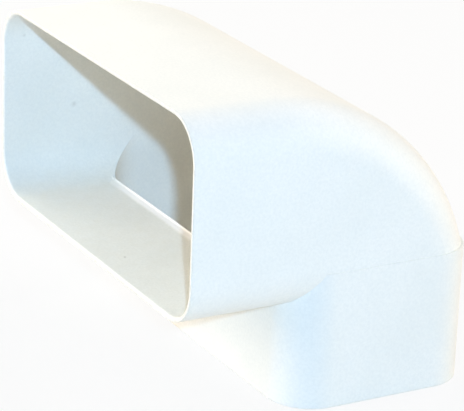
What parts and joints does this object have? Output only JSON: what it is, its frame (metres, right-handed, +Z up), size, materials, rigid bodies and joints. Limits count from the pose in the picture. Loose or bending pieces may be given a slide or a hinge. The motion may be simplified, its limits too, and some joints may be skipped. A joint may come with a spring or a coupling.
{
  "type": "flat duct vertical bend",
  "caption": "White moulded right-angle bend for flat ventilation duct, turning the run across the duct's thin side, with an open rectangular socket at each end.",
  "frame": {"origin": "centre of the outlet's opening, on the plane of its rim", "axes": "+X along the duct's width, -Y out of the mouth, +Z up, so the outlet faces down"},
  "size_m": [0.1544, 0.1141, 0.1101],
  "materials": {
    "white_plastic": "plain moulded white, faint satin sheen"
  },
  "bodies": {
    "root": {"bend_shell": "white_plastic"}
  },
  "joints": []
}
